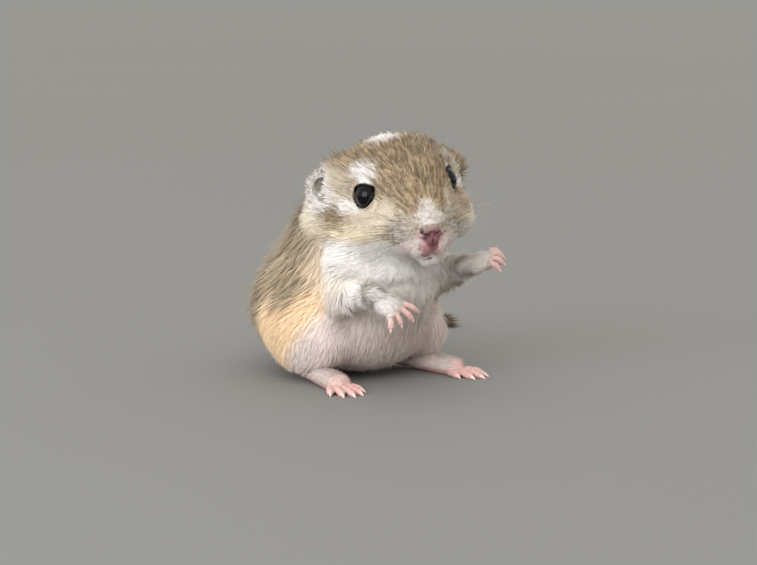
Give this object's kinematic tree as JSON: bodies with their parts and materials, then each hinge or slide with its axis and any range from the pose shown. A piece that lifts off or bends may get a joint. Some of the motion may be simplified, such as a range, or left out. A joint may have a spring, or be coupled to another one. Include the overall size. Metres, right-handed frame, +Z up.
{
  "type": "gerbil",
  "caption": "Young gerbil with brown and white coat, sitting up on its haunches with its forepaws raised and its tail laid on the floor.",
  "frame": {"origin": "on the floor, at the middle of the flat under the rump that the animal sits on", "axes": "+Z up, the body faces -Y, and the animal's left side is +X"},
  "size_m": [0.0609, 0.0639, 0.0405],
  "materials": {
    "coat_back": "short soft golden-brown fur with dark tips",
    "coat_face": "fine short brown fur with white spots",
    "coat_pale": "soft white fur",
    "paw_skin": "bare pink skin under thin white hair, pale claws",
    "ear_skin": "thin pinkish skin with short white hair",
    "nose_skin": "bare moist pink skin",
    "eye_gloss": "wet, glossy black",
    "coat_tail": "short fur, with longer dark hair at the end"
  },
  "bodies": {
    "root": {"torso": "coat_back", "neck": "coat_pale", "head": "coat_face", "nose": "nose_skin", "eye_right": "eye_gloss", "eye_left": "eye_gloss", "ear_right": "ear_skin", "ear_left": "ear_skin", "foreleg_right": "coat_pale", "foreleg_left": "coat_pale", "forepaw_right": "paw_skin", "forepaw_left": "paw_skin", "hindleg_right": "coat_back", "hindleg_left": "coat_back", "hindfoot_right": "paw_skin", "hindfoot_left": "paw_skin", "tail_base": "coat_tail", "tail_middle": "coat_tail", "tail_tip": "coat_tail"}
  },
  "joints": []
}
